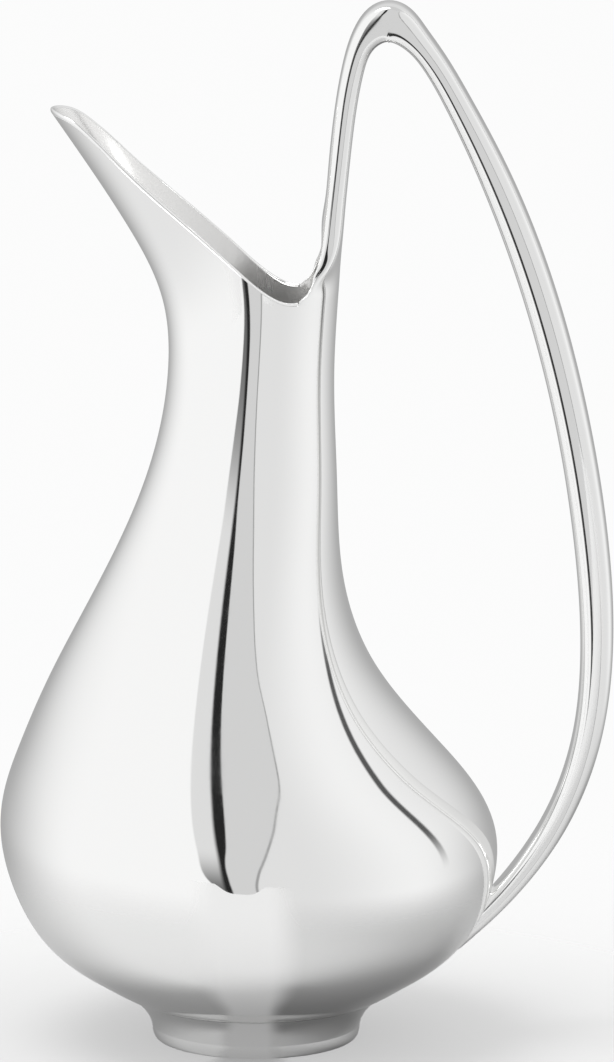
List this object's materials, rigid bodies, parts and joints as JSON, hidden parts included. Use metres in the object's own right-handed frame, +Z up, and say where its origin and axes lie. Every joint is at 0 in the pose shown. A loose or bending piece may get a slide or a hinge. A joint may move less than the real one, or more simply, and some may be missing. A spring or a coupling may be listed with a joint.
{
  "type": "water pitcher",
  "caption": "Tall swan-necked water pitcher in polished silver: round belly, long open spout, looped hollow handle growing out of the neck, ring foot.",
  "frame": {"origin": "centre of the foot's flat underside, on the surface the pitcher stands on", "axes": "+Z up through the mouth, +X towards the handle and -X towards the spout, +Y to the right-hand side of a pourer's view; the object mirrors about the plane Y = 0"},
  "size_m": [0.167, 0.1312, 0.2862],
  "materials": {
    "polished_silver": "mirror-polished sterling silver with the faintest hairlines of hand polishing",
    "bright_rim": "bright burnished silver wire",
    "foot_silver": "polished silver, slightly worn where it stands"
  },
  "bodies": {
    "root": {"body_bowl": "polished_silver", "neck_and_spout": "polished_silver", "rim_wire": "bright_rim", "handle_root": "polished_silver", "handle_left_half": "polished_silver", "handle_right_half": "polished_silver", "tail_fillet": "polished_silver", "foot_collar": "foot_silver", "foot_wire": "foot_silver"}
  },
  "joints": []
}
